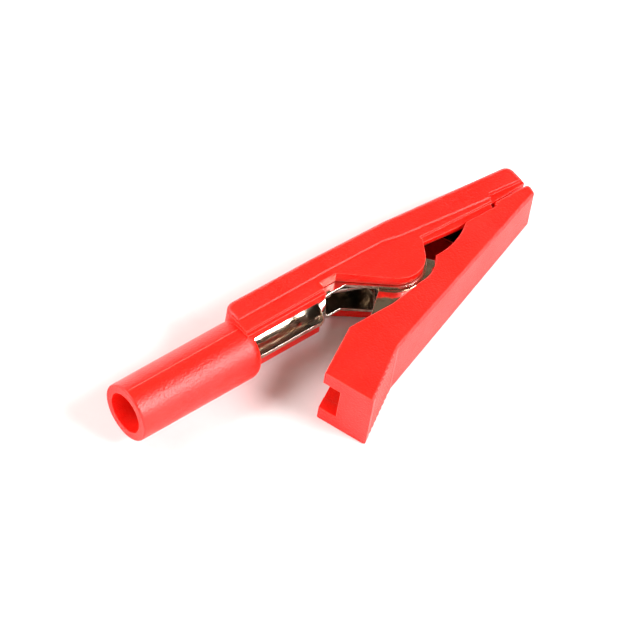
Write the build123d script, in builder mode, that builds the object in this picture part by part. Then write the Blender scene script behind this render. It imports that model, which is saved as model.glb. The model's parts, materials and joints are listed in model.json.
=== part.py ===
from build123d import *
import os
from math import acos, atan2, cos, degrees, floor, hypot, radians, sin

# Insulated alligator clip for a 4 mm plug, lying on its side.
# +X runs along the barrel's axis to the tip, +Y to the clip's back, +Z across the clip.
# Everything is drawn from the pivot's axis. The finished pieces are then moved, so that the
# origin is the rear end of the metal socket in the barrel, on the barrel's axis.

# Lengths along the clip, from the pivot's axis.
barrel_rear = 35.9
tip_length = 19.2
barrel_length = 16.6
barrel_overlap = 1.1
nose_setback = 0.2
step_setback = 5.2

# Widths across the clip.
clip_width = 8.0
tip_width = 5.8
taper_start = -7.5
hollow_width = 4.8
hollow_tip_width = 3.2
hollow_taper_start = 3.0
tip_wall = 3.0

# Barrel.
barrel_radius = 3.4
barrel_axis_y = 1.0
barrel_edge = 0.2
barrel_shoulder = 1.4
mouth_gap = 0.4
mouth_depth = 3.5
rib_height = 0.2
rib_width = 0.9

# Upper shell.
back_rear_y = 4.6
back_bend = (1.8, 4.4)
nose_top_y = 3.3
nose_radius = 1.1
back_wall = 1.15
back_edge = 1.3
side_edge = 0.6
seam_edge = 0.1
cap_line_y = 2.1
cap_line_bend = (2.3, 1.65)
cap_line_tip_y = 0.62
notch_run = 0.4
cap_notch_y = 1.15
cap_end_y = 0.8
band_inset = 0.15
lip_inset = 0.5
neck_edge_y = 0.4
lip_height = 0.43
neck_end = -9.6
relief_end = -7.4
relief_y = 1.3
lobe_radius = 3.4
lobe_flank_deg = 38.0
lobe_front_x = 3.95
groove_y = 0.45
groove_tip_y = 0.2
lip_rear_y = -0.2
lip_y = -0.5
lip_bend_x = 8.5
lip_step_gap = 0.3
lip_step_run = 0.1
lip_end_y = 0.45

# Lower shell.
mate_gap = 0.15
step_height = 0.6
step_run = 0.2
lever_arc_radius = 4.55
lever_arc_end_deg = -34.0
lever_floor_y = -5.3
lever_bend_x = -10.6
lever_inner_end = (-16.7, -8.72)
lever_outer_end = (-14.65, -14.6)
lever_bend = (-7.7, -10.32)
lever_bend_radius = 1.0
nose_low_setback = 0.3
nose_low_y = -1.49
tip_corner = 0.5
scoop_mid = (7.0, -2.05)
scoop_end_x = 9.6
lever_wall = 1.4
front_floor = 0.9
wall_change = 1.0
end_wall = 1.3
shell_edge = 0.4
inner_edge = 0.12
notch_depth = 2.2
notch_width = 4.4
grip_count = 8
grip_pitch = 0.82
grip_depth = 0.22
grip_start = 1.0

# Sheet metal.
sheet = 0.36
jaw_gap = 0.1
ear_gap = 0.08
upper_ear_radius = 3.65
upper_ear_lead = 0.4
upper_ear_flank_deg = 37.0
lower_ear_radius = 2.6
jaw_tip_gap = 0.6
lower_jaw_setback = 0.4
tooth_pitch = 0.8
tooth_depth = 0.3
throat_y = 1.9
channel_rear = -8.4
channel_edge_y = 0.35
waist_end = -10.4
waist_drop = 0.5
waist_corner = 0.9
waist_mouth = 0.9
plug_radius = 2.0
plug_gap = 0.05
sleeve_gap = 0.04
neck_side_gap = 0.25
sleeve_setback = 0.3
sleeve_taper = 1.4
slit_width = 0.3
gutter_rim_y = -0.09
gutter_tilt_deg = 15.8
jaw_rim = 0.4
ear_foot_deg = 24.0
tail_shoulder = (-8.6, -5.9)
tail_step_x = -9.4
tail_end = -13.4
tail_flange = 1.0

# Pivot pin and spring.
pin_radius = 0.9
pin_gap = 0.05
ear_hole_gap = 0.01
head_overhang = 0.5
head_height = 0.3
head_gap = 0.15
wire = 0.55
coil_pin_gap = 0.425
coil_gap = 0.1
coil_side_gap = 0.15
upper_leg_end = (-9.4, 1.95)
lower_leg_end = (-8.6, -8.4)

mid_z = clip_width / 2
deep = 3 * barrel_rear
barrel_line = Axis((0, barrel_axis_y, mid_z), (1, 0, 0))
barrel_front_x = barrel_length - barrel_rear
cover_rear_x = barrel_front_x - barrel_overlap
nose_x = tip_length - nose_setback
step_x = tip_length - step_setback
hollow_front = tip_length - tip_wall
jaw_front = hollow_front - jaw_tip_gap
lower_jaw_front = jaw_front - lower_jaw_setback
mouth_radius = plug_radius + mouth_gap
sleeve_front = barrel_front_x - sleeve_setback
neck_tube_end = sleeve_front + sleeve_taper
neck_tube_radius = hollow_width / 2 - neck_side_gap
sleeve_inner = plug_radius + plug_gap
sleeve_outer = sleeve_inner + sheet
sleeve_rear = mouth_depth + sleeve_gap - barrel_rear
nest = jaw_gap + sheet + ear_gap
head_radius = pin_radius + head_overhang
lower_low_y = lip_y - mate_gap
lower_high_y = lower_low_y + step_height
nose_low = (tip_length - nose_low_setback, nose_low_y)
front_slope = (nose_low[1] - lever_bend[1]) / (nose_low[0] - lever_bend[0])
lever_slope = (lever_bend[1] - lever_outer_end[1]) / (lever_bend[0] - lever_outer_end[0])


def outer_bottom(x):
    """The lower shell's outer face at x."""
    slope = front_slope if x > lever_bend[0] else lever_slope
    return lever_bend[1] + slope * (x - lever_bend[0])


def floor_points(front_x, rear_x, lift):
    """Points along the lower shell's inner floor, from front to rear, raised by a lift."""
    bend_x, bend_y = lever_bend
    turn_x = bend_x - wall_change
    return [
        (front_x, outer_bottom(front_x) + front_floor + lift),
        (bend_x, bend_y + front_floor + lift),
        (turn_x, outer_bottom(turn_x) + lever_wall + lift),
        (rear_x, outer_bottom(rear_x) + lever_wall + lift),
    ]


def back_face(x):
    """The upper shell's back at x."""
    bend_x, bend_y = back_bend
    if x < bend_x:
        return back_rear_y + (bend_y - back_rear_y) * (x - cover_rear_x) / (bend_x - cover_rear_x)
    return bend_y + (nose_top_y - bend_y) * (x - bend_x) / (nose_x - bend_x)


def plan_block(rear_half, taper_x, front_x, front_half):
    """A tall block that narrows towards the tip when it is seen from the clip's back."""
    rear_x = -barrel_rear
    with BuildPart() as block:
        with BuildSketch(Plane.XZ):
            with BuildLine():
                Polyline(
                    (rear_x, mid_z - rear_half),
                    (taper_x, mid_z - rear_half),
                    (front_x, mid_z - front_half),
                    (front_x, mid_z + front_half),
                    (taper_x, mid_z + rear_half),
                    (rear_x, mid_z + rear_half),
                    close=True,
                )
            make_face()
        extrude(amount=deep, both=True)
    return block.part


def cover_plan(inset):
    """The covers' side faces, moved in by an inset."""
    return plan_block(clip_width / 2 - inset, taper_start, tip_length, tip_width / 2 - inset)


def hollow_plan(inset):
    """The covers' inner side faces, moved in by an inset."""
    rear_half = hollow_width / 2 - inset
    front_half = hollow_tip_width / 2 - inset
    return plan_block(rear_half, hollow_taper_start, hollow_front, front_half)


def side_edges(block, low_y, high_y):
    """Edges round a block's two side faces whose middles lie between two heights."""
    sides = block.faces().filter_by(lambda f: abs(f.normal_at().Z) > 0.9)
    outlines = sides.edges().filter_by(lambda e: abs(e.center().X - taper_start) > seam_edge)
    return outlines.filter_by(lambda e: low_y < e.center().Y < high_y)


def side_block(outline, plan):
    """An outline of the clip's side, cut to a plan."""
    with BuildPart() as block:
        with BuildSketch(Plane.XY):
            add(outline)
        extrude(amount=clip_width)
        add(plan, mode=Mode.INTERSECT)
    return block.part


def on_inner_rim(edge):
    """Whether an edge runs along the lower shell's rim on the pivot's side."""
    middle = edge.center()
    runs_up = abs(edge.tangent_at(0.5).Y) > 1 - inner_edge and middle.X < step_x
    return middle.Y > outer_bottom(middle.X) + 2 * shell_edge and not runs_up


def polygon_outline(points):
    """A face between straight edges."""
    with BuildSketch() as outline:
        with BuildLine():
            Polyline(*points, close=True)
        make_face()
    return outline.sketch


def flank_outline(radius, flank_deg, top_y, front_x, lead=0):
    """A lobe round a point that leads the pivot, with a sloping flank towards the barrel."""
    slope = radians(flank_deg)
    foot = (-radius * sin(slope), -radius * cos(slope))
    run = (top_y - foot[1]) / sin(slope)
    start = (foot[0] - run * cos(slope), top_y)
    front_foot = (radius * cos(radians(35)), -radius * sin(radians(35)))
    with BuildSketch() as outline:
        with Locations((lead, 0)):
            with BuildLine():
                round_edge = ThreePointArc(foot, (0, -radius), front_foot)
                Polyline(round_edge @ 1, (front_x, 0), (front_x, top_y), start, foot)
            make_face()
    return outline.sketch


# Upper shell.
with BuildSketch() as cap_outline:
    with BuildLine():
        Polyline(
            (cover_rear_x, cap_line_y),
            (cover_rear_x, back_rear_y),
            back_bend,
            (nose_x, nose_top_y),
            (nose_x, cap_end_y),
            (step_x + notch_run, cap_notch_y),
            (step_x + notch_run / 2, cap_line_tip_y),
            cap_line_bend,
            (0, cap_line_y),
            close=True,
        )
    make_face()
    fillet(cap_outline.vertices().sort_by(Axis.Y)[-1], back_edge)
    fillet(cap_outline.vertices().sort_by_distance((nose_x, nose_top_y))[0], nose_radius)

with BuildPart() as cap:
    with BuildSketch(Plane.XY):
        add(cap_outline.sketch)
    extrude(amount=clip_width)
    add(cover_plan(0), mode=Mode.INTERSECT)
    fillet(side_edges(cap, cap_line_y + seam_edge, deep), side_edge)
    fillet(side_edges(cap, 0, cap_line_y + seam_edge), seam_edge)

neck_band = polygon_outline(
    [
        (cover_rear_x, neck_edge_y),
        (cover_rear_x, cap_line_y + 1),
        (0, cap_line_y + 1),
        (0, relief_y),
        (relief_end, relief_y),
        (neck_end, relief_y),
        (neck_end, neck_edge_y),
    ]
)
neck_lip = polygon_outline(
    [
        (cover_rear_x, neck_edge_y - lip_height),
        (cover_rear_x, cap_line_y),
        (neck_end, cap_line_y),
        (neck_end, neck_edge_y - lip_height),
    ]
)
lobe = flank_outline(lobe_radius, lobe_flank_deg, relief_y, lobe_front_x)
front_band = polygon_outline(
    [
        (0, groove_y),
        (0, cap_line_y + 1),
        (cap_line_bend[0], cap_line_y),
        (step_x, cap_line_tip_y),
        (step_x, groove_tip_y),
        (lobe_front_x, groove_y),
    ]
)
front_lip = polygon_outline(
    [
        (0, lip_rear_y),
        (0, cap_line_y),
        (nose_x, cap_notch_y),
        (nose_x, lip_end_y),
        (step_x - lip_step_gap + lip_step_run, lip_y + step_height),
        (step_x - lip_step_gap, lip_y),
        (lip_bend_x, lip_y),
        (lobe_front_x, lip_rear_y),
    ]
)

with BuildPart() as barrel:
    with BuildSketch(Plane.YZ.offset(-barrel_rear)):
        with Locations((barrel_axis_y, mid_z)):
            Circle(barrel_radius)
    extrude(amount=barrel_length)
    fillet(barrel.edges().sort_by(Axis.X)[0], barrel_edge)
    fillet(barrel.edges().sort_by(Axis.X)[-1], barrel_shoulder)

upper_hollow = polygon_outline(
    [
        (barrel_front_x, -deep),
        (barrel_front_x, back_face(barrel_front_x) - back_wall),
        (back_bend[0], back_bend[1] - back_wall),
        (hollow_front, back_face(hollow_front) - back_wall),
        (hollow_front, -deep),
    ]
)

with BuildPart() as upper_shell:
    add(cap.part)
    for outline, inset in (
        (neck_band, band_inset),
        (front_band, band_inset),
        (lobe, band_inset),
        (neck_lip, lip_inset),
        (front_lip, lip_inset),
    ):
        add(side_block(outline, cover_plan(inset)))
    add(barrel.part)
    with BuildSketch(Plane.YZ.offset(-barrel_rear)):
        with Locations((barrel_axis_y, mid_z)):
            Circle(mouth_radius)
    extrude(amount=mouth_depth, mode=Mode.SUBTRACT)
    with BuildSketch(Plane.YZ.offset(mouth_depth - barrel_rear)):
        with Locations((barrel_axis_y, mid_z)):
            Circle(sleeve_outer + sleeve_gap)
    extrude(amount=neck_tube_end + barrel_rear - mouth_depth, mode=Mode.SUBTRACT)
    with BuildSketch(Plane.YZ.offset(barrel_edge - barrel_rear)):
        with Locations((barrel_axis_y, mid_z + mouth_radius)):
            Rectangle(rib_width, 2 * rib_height)
    extrude(amount=mouth_depth - barrel_edge)
    add(side_block(upper_hollow, hollow_plan(0)), mode=Mode.SUBTRACT)
    with BuildSketch(Plane.XY.offset(mid_z)):
        Circle(head_radius + head_gap)
    extrude(amount=hollow_width / 2 + head_height + head_gap, both=True, mode=Mode.SUBTRACT)


# Lower shell.
arc_end = radians(lever_arc_end_deg)
arc_front = (lever_arc_radius * cos(arc_end), lever_arc_radius * sin(arc_end))
with BuildSketch() as lower_outline:
    with BuildLine():
        rim = Polyline(
            (-lever_arc_radius, lever_floor_y),
            (lever_bend_x, lever_floor_y),
            lever_inner_end,
            lever_outer_end,
            lever_bend,
            nose_low,
            (tip_length, lower_high_y),
            (step_x + step_run, lower_high_y),
            (step_x, lower_low_y),
            (scoop_end_x, lower_low_y),
        )
        scoop = ThreePointArc(rim @ 1, scoop_mid, arc_front)
        Polyline(scoop @ 1, (0, -lever_arc_radius), rim @ 0)
    make_face()
    Circle(lever_arc_radius, mode=Mode.SUBTRACT)
    corner = lower_outline.vertices().sort_by_distance(lever_bend)[0]
    fillet(corner, lever_bend_radius)
    for tip in (nose_low, (tip_length, lower_high_y)):
        fillet(lower_outline.vertices().sort_by_distance(tip)[0], tip_corner)

with BuildPart() as grip_cutter:
    along = (Vector(lever_bend) - Vector(lever_outer_end)).normalized()
    inward = Vector(-along.Y, along.X)
    for tooth in range(grip_count):
        near = Vector(lever_outer_end) + along * (grip_start + tooth * grip_pitch)
        far = near + along * grip_pitch
        with BuildSketch(Plane.XY):
            with BuildLine():
                Polyline(near - inward * grip_depth, near + inward * grip_depth, far, close=True)
            make_face()
        extrude(amount=clip_width)

end_line = (Vector(lever_outer_end) - Vector(lever_inner_end)).normalized()
end_normal = Vector(-end_line.Y, end_line.X)
wall_top = Vector(lever_inner_end) + end_normal * end_wall - end_line * lever_wall
wall_low = Vector(lever_outer_end) + end_normal * end_wall
lower_hollow = polygon_outline(
    [
        (hollow_front, back_rear_y),
        *floor_points(hollow_front, wall_low.X, 0),
        (wall_top.X, wall_top.Y),
        (lever_bend_x, back_rear_y),
    ]
)
notch_low = Vector(lever_inner_end) + end_line * notch_depth
notch = polygon_outline(
    [
        (notch_low.X - notch_depth, notch_low.Y),
        (notch_low.X + 2 * end_wall, notch_low.Y),
        (notch_low.X + 2 * end_wall, 0),
        (notch_low.X - notch_depth, 0),
    ]
)

with BuildPart() as lower_shell:
    with BuildSketch(Plane.XY):
        add(lower_outline.sketch)
    extrude(amount=clip_width)
    add(cover_plan(0), mode=Mode.INTERSECT)
    outer_rim = side_edges(lower_shell, -deep, deep).filter_by(
        lambda e: e.center().Y < outer_bottom(e.center().X) + shell_edge
    )
    fillet(outer_rim, shell_edge)
    chamfer(side_edges(lower_shell, -deep, deep).filter_by(on_inner_rim), inner_edge)
    add(side_block(lower_hollow, hollow_plan(0)), mode=Mode.SUBTRACT)
    with BuildSketch(Plane.XY.offset(mid_z)):
        add(notch)
    extrude(amount=notch_width / 2, both=True, mode=Mode.SUBTRACT)
    add(grip_cutter.part, mode=Mode.SUBTRACT)


# Upper jaw.
def toothed_edge(first_x, last_x):
    """Points of a zigzag edge from first_x back to last_x, centred on the bite line."""
    count = int((first_x - last_x) / tooth_pitch) * 2
    half = tooth_depth / 2
    return [
        (first_x - i * tooth_pitch / 2, lower_low_y + (half if i % 2 else -half))
        for i in range(count + 1)
    ]


def tube_profile(inset):
    """Half of the rolled tail's profile, above its axis, moved in by an inset."""
    return polygon_outline(
        [
            (sleeve_rear - inset, barrel_axis_y),
            (sleeve_rear - inset, barrel_axis_y + sleeve_outer - inset),
            (sleeve_front, barrel_axis_y + sleeve_outer - inset),
            (neck_tube_end, barrel_axis_y + neck_tube_radius - inset),
            (waist_end, barrel_axis_y + neck_tube_radius - inset),
            (waist_end, barrel_axis_y),
        ]
    )


def jaw_ceiling(x):
    """The upper jaw's back face at x."""
    return back_face(x) - back_wall - jaw_gap


upper_ears = flank_outline(
    upper_ear_radius, upper_ear_flank_deg, channel_edge_y, upper_ear_radius, upper_ear_lead
)
ear_front = upper_ear_lead + upper_ear_radius
upper_channel = polygon_outline(
    [
        (channel_rear, channel_edge_y),
        (channel_rear, jaw_ceiling(channel_rear)),
        (back_bend[0], jaw_ceiling(back_bend[0])),
        (jaw_front, jaw_ceiling(jaw_front)),
        *toothed_edge(jaw_front, scoop_end_x),
        (scoop_end_x - tooth_pitch, throat_y),
        (ear_front, throat_y),
        (ear_front, channel_edge_y),
    ]
)
upper_inside = polygon_outline(
    [
        (channel_rear, -deep),
        (channel_rear, jaw_ceiling(channel_rear) - sheet),
        (back_bend[0], jaw_ceiling(back_bend[0]) - sheet),
        (jaw_front - sheet, jaw_ceiling(jaw_front - sheet) - sheet),
        (jaw_front - sheet, -deep),
    ]
)
gutter_tilt = radians(gutter_tilt_deg)
gutter_plane = Plane(
    origin=(0, gutter_rim_y, mid_z),
    x_dir=(1, 0, 0),
    z_dir=(0, -cos(gutter_tilt), sin(gutter_tilt)),
)


def waist(inset):
    """The stretch between the round tail and the square channel, moved in by an inset."""
    top = jaw_ceiling(channel_rear) - inset
    low = channel_edge_y - waist_drop + inset
    half = hollow_width / 2 - jaw_gap - inset
    with BuildPart() as block:
        with BuildSketch(Plane.YZ.offset(channel_rear)):
            with Locations(((top + low) / 2, mid_z)):
                RectangleRounded(top - low, 2 * half, waist_corner)
        with BuildSketch(Plane.YZ.offset(waist_end)):
            with Locations((barrel_axis_y, mid_z)):
                Circle(neck_tube_radius - inset)
        loft()
    return block.part


with BuildPart() as upper_jaw:
    add(side_block(upper_channel, hollow_plan(jaw_gap)))
    add(side_block(upper_ears, hollow_plan(jaw_gap)))
    add(side_block(upper_inside, hollow_plan(jaw_gap + sheet)), mode=Mode.SUBTRACT)
    add(waist(0))
    with BuildSketch(Plane.XY.offset(mid_z)):
        add(tube_profile(0))
    revolve(axis=barrel_line)
    with BuildSketch(Plane.XY.offset(mid_z)):
        add(tube_profile(sheet))
    revolve(axis=barrel_line, mode=Mode.SUBTRACT)
    add(waist(sheet), mode=Mode.SUBTRACT)
    with BuildSketch(Plane.XY):
        with BuildLine():
            Polyline(
                (waist_end, channel_edge_y - neck_tube_radius),
                (channel_rear - waist_mouth, channel_edge_y),
                (channel_rear, channel_edge_y),
                (channel_rear, -clip_width),
                (waist_end, -clip_width),
                close=True,
            )
        make_face()
    extrude(amount=clip_width, mode=Mode.SUBTRACT)
    with BuildSketch(gutter_plane):
        with Locations(((sleeve_front + waist_end) / 2, 0)):
            Rectangle(waist_end - sleeve_front, clip_width)
        with Locations((sleeve_front - barrel_length / 2, 0)):
            Rectangle(barrel_length, slit_width)
    extrude(amount=clip_width, mode=Mode.SUBTRACT)
    with BuildSketch(Plane.XY):
        Circle(pin_radius + ear_hole_gap)
    extrude(amount=clip_width, mode=Mode.SUBTRACT)


# Lower jaw.
ear_foot = radians(ear_foot_deg)
tail_low_y = outer_bottom(tail_end) + lever_wall + jaw_gap
lower_side = polygon_outline(
    [
        *toothed_edge(lower_jaw_front, scoop_end_x),
        (scoop_end_x - 3 * jaw_rim, lower_low_y - jaw_rim),
        (scoop_mid[0], scoop_mid[1] + jaw_rim),
        (arc_front[0] + jaw_rim, arc_front[1] + jaw_rim),
        (lower_ear_radius, -jaw_rim),
        (0, 0),
        (-lower_ear_radius * cos(ear_foot), -lower_ear_radius * sin(ear_foot)),
        tail_shoulder,
        (tail_step_x, outer_bottom(tail_step_x) + lever_wall + tail_flange),
        (tail_end, tail_low_y + tail_flange),
        *reversed(floor_points(lower_jaw_front, tail_end, jaw_gap)),
    ]
)
inside_rear = tail_end - tail_flange
lower_inside = polygon_outline(
    [
        (lower_jaw_front - sheet, deep),
        *floor_points(lower_jaw_front - sheet, inside_rear, jaw_gap + sheet),
        (inside_rear, deep),
    ]
)
with BuildPart() as lower_jaw:
    add(side_block(lower_side, hollow_plan(nest)))
    with BuildSketch(Plane.XY.offset(mid_z)):
        Circle(lower_ear_radius)
    extrude(amount=hollow_width / 2 - nest, both=True)
    add(side_block(lower_inside, hollow_plan(nest + sheet)), mode=Mode.SUBTRACT)
    with BuildSketch(Plane.XY):
        Circle(pin_radius + pin_gap)
    extrude(amount=clip_width, mode=Mode.SUBTRACT)


# Pivot pin.
pin_half = hollow_width / 2 - jaw_gap
with BuildPart() as pivot_pin:
    with BuildSketch(Plane.XY.offset(mid_z)):
        Circle(pin_radius)
    extrude(amount=pin_half, both=True)
    for side in (-1, 1):
        with BuildSketch(Plane.XY.offset(mid_z + side * pin_half)):
            Circle(head_radius)
        extrude(amount=side * head_height)


# Torsion spring.
coil_radius = pin_radius + coil_pin_gap + wire / 2
coil_pitch = wire + coil_gap


def leg_start(end, turn):
    """Where a straight leg that reaches an end point leaves the coil, as an angle and a direction."""
    angle = atan2(end[1], end[0]) - turn * acos(coil_radius / hypot(*end))
    start = Vector(coil_radius * cos(angle), coil_radius * sin(angle))
    return angle, Vector(*end) - start


lower_angle, lower_run = leg_start(lower_leg_end, 1)
upper_angle, upper_run = leg_start(upper_leg_end, -1)
part_turn = ((lower_angle - upper_angle) / radians(360)) % 1
coil_room = 2 * (hollow_width / 2 - nest - sheet - coil_side_gap) - wire
coil_turns = floor(coil_room / coil_pitch - part_turn) + part_turn
coil_height = coil_pitch * coil_turns
coil_place = Location((0, 0, mid_z - coil_height / 2), (0, 0, degrees(lower_angle)))
coil_line = Helix(coil_pitch, coil_height, coil_radius, lefthand=True).moved(coil_place)
lower_foot = coil_line @ 0
upper_foot = coil_line @ 1
spring_line = Wire(
    [
        Edge.make_line(lower_foot + lower_run, lower_foot),
        *coil_line.edges(),
        Edge.make_line(upper_foot, upper_foot + upper_run),
    ]
)
with BuildPart() as torsion_spring:
    with BuildSketch(Plane(origin=lower_foot + lower_run, z_dir=-lower_run)):
        Circle(wire / 2)
    sweep(path=spring_line, transition=Transition.TRANSFORMED)


# The finished pieces, moved so that the origin is at the rear end of the metal socket.
socket_shift = Location((-sleeve_rear, -barrel_axis_y, -mid_z))
os.makedirs("parts", exist_ok=True)
for name, piece in (
    ("upper_shell", upper_shell),
    ("lower_shell", lower_shell),
    ("upper_jaw", upper_jaw),
    ("lower_jaw", lower_jaw),
    ("pivot_pin", pivot_pin),
    ("torsion_spring", torsion_spring),
):
    piece.part.label = name
    piece.part.move(socket_shift)
    export_step(piece.part, f"parts/{name}.step")
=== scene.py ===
import json
from math import acos, atan2, cos, hypot, pi, sin

import bmesh
import bpy
from mathutils import Matrix, Vector


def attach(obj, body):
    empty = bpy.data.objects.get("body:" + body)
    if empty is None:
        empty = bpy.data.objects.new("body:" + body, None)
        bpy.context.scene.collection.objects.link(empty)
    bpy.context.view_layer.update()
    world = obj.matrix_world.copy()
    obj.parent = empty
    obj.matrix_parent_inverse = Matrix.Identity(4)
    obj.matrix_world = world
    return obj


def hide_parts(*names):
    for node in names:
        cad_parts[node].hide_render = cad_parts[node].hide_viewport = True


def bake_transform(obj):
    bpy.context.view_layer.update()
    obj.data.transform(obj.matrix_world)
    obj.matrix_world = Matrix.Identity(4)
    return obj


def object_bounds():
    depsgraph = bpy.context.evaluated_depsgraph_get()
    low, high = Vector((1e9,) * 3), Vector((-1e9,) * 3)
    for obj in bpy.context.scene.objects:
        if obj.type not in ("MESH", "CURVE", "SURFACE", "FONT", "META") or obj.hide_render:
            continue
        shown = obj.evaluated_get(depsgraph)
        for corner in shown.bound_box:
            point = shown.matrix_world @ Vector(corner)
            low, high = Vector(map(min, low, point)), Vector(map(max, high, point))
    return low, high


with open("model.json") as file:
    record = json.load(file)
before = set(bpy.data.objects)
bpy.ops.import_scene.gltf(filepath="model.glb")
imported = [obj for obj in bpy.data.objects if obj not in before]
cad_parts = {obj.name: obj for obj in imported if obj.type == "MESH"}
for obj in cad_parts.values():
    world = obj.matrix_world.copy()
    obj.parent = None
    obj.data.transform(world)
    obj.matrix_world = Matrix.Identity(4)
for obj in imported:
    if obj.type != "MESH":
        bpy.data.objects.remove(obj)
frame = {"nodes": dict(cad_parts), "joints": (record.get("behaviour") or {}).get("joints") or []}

cad_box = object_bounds()

MM = 0.001
PIVOT = Vector(frame["joints"][0]["pos_m"])

# Camera and floor.
view_side = Vector((-0.447, -0.420, 0.790)).normalized()
view_up = Vector((0.438, 0.668, 0.602))
target = PIVOT + Vector((-10.5, -0.7, 0)) * MM
camera_distance = 0.7
frame_width = 0.0696
near_limit = 0.01
floor_gap = 0.02 * MM
floor_half = 0.6
floor_cells = 8

# Light. Each softbox has a direction from the clip, a width and a height in metres, and watts.
softbox_distance = 0.6
softboxes = {
    "right_softbox": (Vector((0.45, -0.60, 0.66)), 0.27, 0.27, 5.4),
    "left_softbox": (Vector((-0.55, 0.42, 0.72)), 0.26, 0.22, 3.0),
}
sky_low = 0.12
sky_high = 0.62
sky_bright = (2.95, 2.91, 2.88, 1)
sky_dark = (0.17, 0.13, 0.09, 1)

# Plastic.
red = (0.82, 0.012, 0.0045, 1)
deep_red = (0.74, 0.007, 0.003, 1)
# Lighter red laid along edges: a painted highlight.
edge_highlight_red = (0.95, 0.12, 0.08, 1)
line_pale = (0.9, 0.07, 0.045, 1)
line_deep = (0.86, 0.04, 0.03, 1)
dust = (0.16, 0.01, 0.008, 1)
dust_start = 0.76
dust_full = 0.8
dust_share = 0.55
edge_highlight_share = 0.45
plastic_edge = 0.14 * MM
grain_depth = 0.06 * MM
plastic_rough = (0.28, 0.42)
scatter_share = 0.6
scatter_colours = (1, 0.06, 0.03)
scatter_depth = 2.2 * MM
plastic_shine = 0.42

# Plating.
neck_nickel = (0.74, 0.67, 0.58, 1)
neck_tarnish = (0.46, 0.36, 0.26, 1)
jaw_nickel = (0.80, 0.75, 0.68, 1)
jaw_tarnish = (0.50, 0.41, 0.31, 1)
rivet_steel = (0.6, 0.58, 0.55, 1)
rivet_stain = (0.4, 0.33, 0.27, 1)
wire_steel = (0.55, 0.53, 0.5, 1)
wire_stain = (0.36, 0.3, 0.25, 1)
# Near-white laid along metal edges: a painted highlight.
painted_edge_glint = (0.9, 0.87, 0.82, 1)
edge_glint_share = 0.8
metal_edge = 0.1 * MM
wave_depth = 0.09 * MM
line_depth = 0.004 * MM
stain_start = 0.42
stain_full = 0.68
stain_rough = 3

# Paper.
paper_white = (0.82, 0.815, 0.815, 1)
scuffed = (0.76, 0.75, 0.75, 1)
paper_rough = (0.55, 0.75)

# Features per metre in the materials, and how far streaks and rolling lines are drawn out along X.
flow_scale = 420
flow_stretch = (0.25, 1, 1)
patch_scale = 160
grain_scale = 4200
dust_scale = 2300
rolling_scale = 5000
rolling_stretch = (0.06, 1, 1)
wave_scale = 420
stain_scale = 650
fibre_scale = 3000
scuff_scale = 90

# Barrel and lower nose, as in the CAD, for the mould lines that run along them.
barrel_line_start = -3.2 * MM
barrel_line_end = 11.8 * MM
barrel_radius = 3.4 * MM
barrel_line_angle = 1.447
nose_line_start = Vector((8.0, -5.02, 0)) * MM
nose_line_end = Vector((17.8, -1.845, 0)) * MM
line_width = 0.2 * MM
line_height = 0.06 * MM
line_root = 0.06 * MM
line_steps = 60
line_fade = 8
line_swell = 0.2
line_beats = (1.7, 0.9)

# Spring and pin, in mm round the pivot.
wire_radius = 0.275
coil_radius = 1.6
coil_height = 1.757
coil_turns = 2.7036
upper_leg_end = (-9.4, 1.95)
lower_leg_end = (-8.6, -8.4)
coil_steps = 150
leg_steps = 12
wire_sides = 14
dome_shares = (0.15, 0.55, 0.85)
dome_reach = 0.6
pin_radius = 0.9
pin_profile = (
    (0, 2.56), (0.25, 2.53), (0.4, 2.6), (0.85, 2.58), (1.15, 2.52), (1.33, 2.42), (1.4, 2.34),
    (1.36, 2.3), (pin_radius, 2.3), (pin_radius, 0),
)
pin_sides = 48
weld = 1e-7


def facing(direction, up):
    """A rotation whose local Z points along a direction."""
    z = direction.normalized()
    x = up.cross(z).normalized()
    y = z.cross(x)
    return Matrix((x, y, z)).transposed().to_euler()


def link(obj):
    """Puts an object in the scene."""
    bpy.context.collection.objects.link(obj)
    return obj


def add_camera():
    data = bpy.data.cameras.new("camera")
    data.lens = data.sensor_width * camera_distance / frame_width
    data.clip_start = near_limit
    camera = link(bpy.data.objects.new("camera", data))
    camera.location = target + view_side * camera_distance
    camera.rotation_euler = facing(view_side, view_up)
    bpy.context.scene.camera = camera


def add_softbox(name, direction, width, height, watts):
    data = bpy.data.lights.new(name, "AREA")
    data.shape = "RECTANGLE"
    data.size = width
    data.size_y = height
    data.energy = watts
    light = link(bpy.data.objects.new(name, data))
    light.location = target + direction.normalized() * softbox_distance
    light.rotation_euler = facing(direction, Vector((0, 0, 1)))


# Materials.
def node(tree, kind, inputs=None, **settings):
    """A new node. Inputs are constants, or sockets of other nodes."""
    made = tree.nodes.new(kind)
    for key, value in settings.items():
        setattr(made, key, value)
    for key, value in (inputs or {}).items():
        if isinstance(value, bpy.types.NodeSocket):
            tree.links.new(value, made.inputs[key])
        else:
            made.inputs[key].default_value = value
    return made


def new_material(name):
    """A material with its node tree and its shader."""
    material = bpy.data.materials.new(name)
    material.use_nodes = True
    tree = material.node_tree
    return material, tree, tree.nodes["Principled BSDF"]


def noise(tree, place, scale, detail=3.0, roughness=0.5):
    """A noise value from about 0.3 to 0.7, with features of 1 / scale metres."""
    values = {"Vector": place, "Scale": scale, "Detail": detail, "Roughness": roughness}
    return node(tree, "ShaderNodeTexNoise", values).outputs[0]


def ranged(tree, value, low, high, to_low, to_high):
    """A value moved from one range to another and held within it."""
    values = {0: value, 1: low, 2: high, 3: to_low, 4: to_high}
    return node(tree, "ShaderNodeMapRange", values).outputs[0]


def mixed(tree, factor, first, second):
    """A colour between two colours."""
    mix = node(tree, "ShaderNodeMix", data_type="RGBA")
    for index, value in ((0, factor), (6, first), (7, second)):
        if isinstance(value, bpy.types.NodeSocket):
            tree.links.new(value, mix.inputs[index])
        else:
            mix.inputs[index].default_value = value
    return mix.outputs[2]


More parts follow.
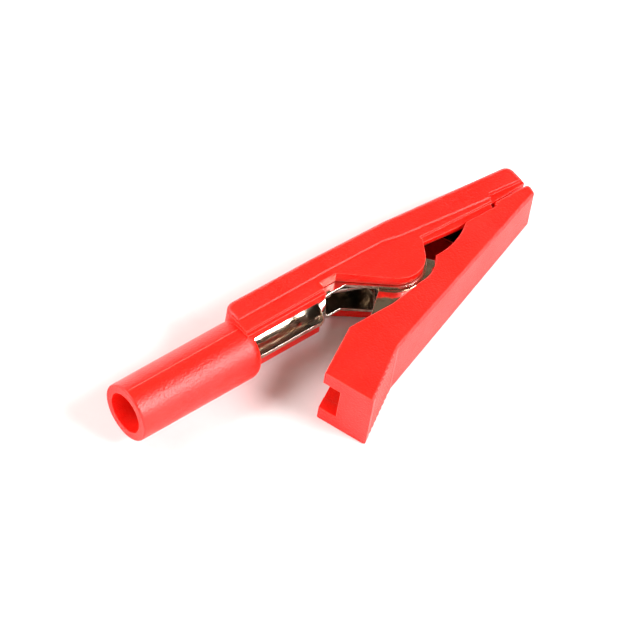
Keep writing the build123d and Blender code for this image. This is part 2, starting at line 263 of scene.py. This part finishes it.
def edge_mask(tree, radius):
    """0 on flat faces and up to 1 along edges, with the softened normal."""
    soft = node(tree, "ShaderNodeBevel", {"Radius": radius}, samples=8).outputs[0]
    sharp = node(tree, "ShaderNodeNewGeometry").outputs["Normal"]
    dot = node(tree, "ShaderNodeVectorMath", {0: soft, 1: sharp}, operation="DOT_PRODUCT")
    return soft, ranged(tree, dot.outputs["Value"], 0.995, 0.8, 0, 1)


def bumped(tree, height, depth, normal):
    """A normal tilted by a relief of that depth in metres."""
    values = {"Height": height, "Distance": depth, "Normal": normal, "Strength": 1}
    return node(tree, "ShaderNodeBump", values).outputs[0]


def placed(tree, seed):
    """A place on the piece, moved by a seed so that two pieces differ."""
    place = node(tree, "ShaderNodeTexCoord").outputs["Object"]
    return node(tree, "ShaderNodeVectorMath", {0: place, 1: (seed, seed, seed)}).outputs[0]


def stretched(tree, place, stretch):
    values = {0: place, 1: stretch}
    return node(tree, "ShaderNodeVectorMath", values, operation="MULTIPLY").outputs[0]


def plastic(name, colour, deep_colour, seed):
    """Moulded plastic with a spark-eroded grain, flow streaks, dust specks, and edges paled towards a
    lighter red as a painted highlight.
    """
    material, tree, shader = new_material(name)
    place = placed(tree, seed)
    flow = noise(tree, stretched(tree, place, flow_stretch), flow_scale, 4, 0.6)
    patches = noise(tree, place, patch_scale, 2)
    grain = noise(tree, place, grain_scale, 2, 0.6)
    specks = noise(tree, place, dust_scale, 1)
    soft, edges = edge_mask(tree, plastic_edge)
    base = mixed(tree, ranged(tree, flow, 0.2, 0.8, 0, 1), colour, deep_colour)
    # Edges paled towards a lighter red: painted highlight.
    base = mixed(tree, ranged(tree, edges, 0, 1, 0, edge_highlight_share), base, edge_highlight_red)
    base = mixed(tree, ranged(tree, specks, dust_start, dust_full, 0, dust_share), base, dust)
    rough = ranged(tree, patches, 0.2, 0.8, *plastic_rough)
    tree.links.new(base, shader.inputs["Base Color"])
    tree.links.new(rough, shader.inputs["Roughness"])
    tree.links.new(bumped(tree, grain, grain_depth, soft), shader.inputs["Normal"])
    shader.inputs["Subsurface Weight"].default_value = scatter_share
    shader.inputs["Subsurface Radius"].default_value = scatter_colours
    shader.inputs["Subsurface Scale"].default_value = scatter_depth
    shader.inputs["Specular IOR Level"].default_value = plastic_shine
    return material


def plating(name, colour, tarnish, rough, seed):
    """Bright plating over rolled sheet: rolling lines, low waves, tarnished patches, and edges paled as
    a painted highlight.
    """
    material, tree, shader = new_material(name)
    place = placed(tree, seed)
    lines = noise(tree, stretched(tree, place, rolling_stretch), rolling_scale, 3, 0.7)
    waves = noise(tree, place, wave_scale, 2)
    stains = noise(tree, place, stain_scale, 5, 0.65)
    soft, edges = edge_mask(tree, metal_edge)
    base = mixed(tree, ranged(tree, stains, stain_start, stain_full, 0, 1), colour, tarnish)
    # Edges paled towards near-white: painted highlight.
    base = mixed(tree, ranged(tree, edges, 0, 1, 0, edge_glint_share), base, painted_edge_glint)
    roughness = ranged(tree, stains, 0.35, 0.7, rough, stain_rough * rough)
    normal = bumped(tree, waves, wave_depth, soft)
    normal = bumped(tree, lines, line_depth, normal)
    tree.links.new(base, shader.inputs["Base Color"])
    tree.links.new(roughness, shader.inputs["Roughness"])
    tree.links.new(normal, shader.inputs["Normal"])
    shader.inputs["Metallic"].default_value = 1
    return material


def paper(name):
    """Studio floor: white paper with a faint fibre and a few pale scuffs."""
    material, tree, shader = new_material(name)
    place = node(tree, "ShaderNodeTexCoord").outputs["Object"]
    fibre = noise(tree, place, fibre_scale, 3, 0.6)
    scuffs = noise(tree, place, scuff_scale, 4, 0.6)
    base = mixed(tree, ranged(tree, scuffs, 0.55, 0.75, 0, 1), paper_white, scuffed)
    tree.links.new(base, shader.inputs["Base Color"])
    tree.links.new(ranged(tree, fibre, 0.3, 0.7, *paper_rough), shader.inputs["Roughness"])
    return material


def studio_sky():
    """White all round the horizon and dark brown overhead."""
    world = bpy.data.worlds.new("studio")
    world.use_nodes = True
    tree = world.node_tree
    place = node(tree, "ShaderNodeTexCoord").outputs["Generated"]
    height = node(tree, "ShaderNodeSeparateXYZ", {0: place}).outputs[2]
    rise = ranged(tree, height, sky_low, sky_high, 0, 1)
    colour = mixed(tree, rise, sky_bright, sky_dark)
    tree.links.new(colour, tree.nodes["Background"].inputs["Color"])
    bpy.context.scene.world = world


# Shapes.
def finished(name, mesh, material):
    """An object made from a mesh in world metres."""
    data = bpy.data.meshes.new(name)
    bmesh.ops.recalc_face_normals(mesh, faces=mesh.faces)
    for face in mesh.faces:
        face.smooth = True
    mesh.to_mesh(data)
    mesh.free()
    data.materials.append(material)
    return link(bpy.data.objects.new(name, data))


def add_floor():
    mesh = bmesh.new()
    bmesh.ops.create_grid(mesh, x_segments=floor_cells, y_segments=floor_cells, size=floor_half)
    floor = finished("floor", mesh, paper("floor_paper"))
    floor.location.z = cad_box[0][2] - floor_gap


def ring(centre, side, other, radius, sides):
    """Points round a centre."""
    turns = [2 * pi * k / sides for k in range(sides)]
    return [centre + (side * cos(a) + other * sin(a)) * radius for a in turns]


def skin(mesh, rings):
    """Faces between neighbouring rings. A ring of one point makes triangles."""
    for near, far in zip(rings, rings[1:]):
        for k in range(max(len(near), len(far))):
            loop = [near[k % len(near)], near[(k + 1) % len(near)]]
            loop += [far[(k + 1) % len(far)], far[k % len(far)]]
            mesh.faces.new(list(dict.fromkeys(loop)))


def tube(name, path, radius, sides, material):
    """A round wire along a path, with domed ends."""
    mesh = bmesh.new()
    first = (path[1] - path[0]).normalized()
    last = (path[-1] - path[-2]).normalized()
    stations = []
    for share in dome_shares:
        out = radius * (1 - share) * dome_reach
        stations.append((path[0] - first * out, radius * share))
    stations += [(point, radius) for point in path]
    for share in reversed(dome_shares):
        out = radius * (1 - share) * dome_reach
        stations.append((path[-1] + last * out, radius * share))
    side = first.orthogonal().normalized()
    rings = []
    for index, (point, size) in enumerate(stations):
        before = stations[max(index - 1, 0)][0]
        after = stations[min(index + 1, len(stations) - 1)][0]
        along = (after - before).normalized()
        side = (side - along * side.dot(along)).normalized()
        points = ring(point, side, along.cross(side), size, sides)
        rings.append([mesh.verts.new(p) for p in points])
    skin(mesh, rings)
    mesh.faces.new(rings[0])
    mesh.faces.new(rings[-1])
    return finished(name, mesh, material)


def spring_path():
    """The wire's centre line in mm round the pivot: lower leg, coil, upper leg."""
    def leg_angle(end, turn):
        return atan2(end[1], end[0]) - turn * acos(coil_radius / hypot(*end))

    start = leg_angle(lower_leg_end, 1)
    points = [Vector((*lower_leg_end, -coil_height / 2))]
    for step in range(coil_steps + 1):
        share = step / coil_steps
        angle = start - 2 * pi * coil_turns * share
        height = coil_height * (share - 0.5)
        points.append(Vector((coil_radius * cos(angle), coil_radius * sin(angle), height)))
    points.append(Vector((*upper_leg_end, coil_height / 2)))
    legs = []
    for end, foot in ((points[0], points[1]), (points[-1], points[-2])):
        legs.append([end.lerp(foot, k / leg_steps) for k in range(leg_steps)])
    return legs[0] + points[1:-1] + legs[1][::-1]


def lathe(name, profile, sides, material):
    """A turned piece round the pivot, mirrored across the clip's middle."""
    mesh = bmesh.new()
    x, y, z = Matrix.Identity(3)
    both = list(profile) + [(r, -h) for r, h in reversed(profile)]
    rings = []
    for radius, height in both:
        points = ring(z * height, x, y, radius, sides if radius else 1)
        rings.append([mesh.verts.new(PIVOT + p * MM) for p in points])
    skin(mesh, rings)
    bmesh.ops.remove_doubles(mesh, verts=mesh.verts, dist=weld)
    return finished(name, mesh, material)


def ridge(name, start, end, outward, material):
    """A thin mould line on a straight stretch of surface."""
    mesh = bmesh.new()
    along = (end - start).normalized()
    across = along.cross(outward).normalized() * line_width / 2
    first_beat, second_beat = line_beats
    rings = []
    for k in range(line_steps + 1):
        point = start.lerp(end, k / line_steps)
        fade = min(1, line_fade * min(k, line_steps - k) / line_steps)
        wobble = 1 - line_swell + line_swell * sin(k * first_beat) * cos(k * second_beat)
        top = point + outward * line_height * fade * wobble
        root = point - outward * line_root
        shape = (root - across, point - across / 2, top, point + across / 2, root + across)
        rings.append([mesh.verts.new(p) for p in shape])
    skin(mesh, rings)
    mesh.faces.new(rings[0])
    mesh.faces.new(rings[-1])
    return finished(name, mesh, material)


def dress(name, material):
    """Gives a CAD piece its material."""
    piece = frame["nodes"][name]
    piece.data.materials.clear()
    piece.data.materials.append(material)


upper_red = plastic("upper_red", red, deep_red, 0.0)
lower_red = plastic("lower_red", red, deep_red, 0.31)
line_red = plastic("line_red", line_pale, line_deep, 0.12)
upper_nickel = plating("upper_nickel", neck_nickel, neck_tarnish, 0.09, 0.0)
lower_nickel = plating("lower_nickel", jaw_nickel, jaw_tarnish, 0.07, 0.17)
pin_steel = plating("pin_steel", rivet_steel, rivet_stain, 0.16, 0.05)
spring_steel = plating("spring_steel", wire_steel, wire_stain, 0.14, 0.09)
dress("upper_shell", upper_red)
dress("lower_shell", lower_red)
dress("upper_jaw", upper_nickel)
dress("lower_jaw", lower_nickel)

path = [PIVOT + point * MM for point in spring_path()]
spring = tube("spring_wire", path, wire_radius * MM, wire_sides, spring_steel)
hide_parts("torsion_spring")
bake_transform(spring)

pin = lathe("rivet", pin_profile, pin_sides, pin_steel)
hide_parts("pivot_pin")
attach(pin, "upper")

barrel_out = Vector((0, cos(barrel_line_angle), sin(barrel_line_angle)))
barrel_line = ridge(
    "barrel_mould_line",
    Vector((barrel_line_start, 0, 0)) + barrel_out * barrel_radius,
    Vector((barrel_line_end, 0, 0)) + barrel_out * barrel_radius,
    barrel_out,
    line_red,
)
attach(barrel_line, "upper")
nose_along = nose_line_end - nose_line_start
nose_out = Vector((nose_along.y, -nose_along.x, 0)).normalized()
nose_line = ridge("nose_mould_line", PIVOT + nose_line_start, PIVOT + nose_line_end, nose_out, line_red)
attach(nose_line, "lower")

bpy.context.scene.view_settings.view_transform = "Standard"
studio_sky()
add_camera()
add_floor()
for name, softbox in softboxes.items():
    add_softbox(name, *softbox)
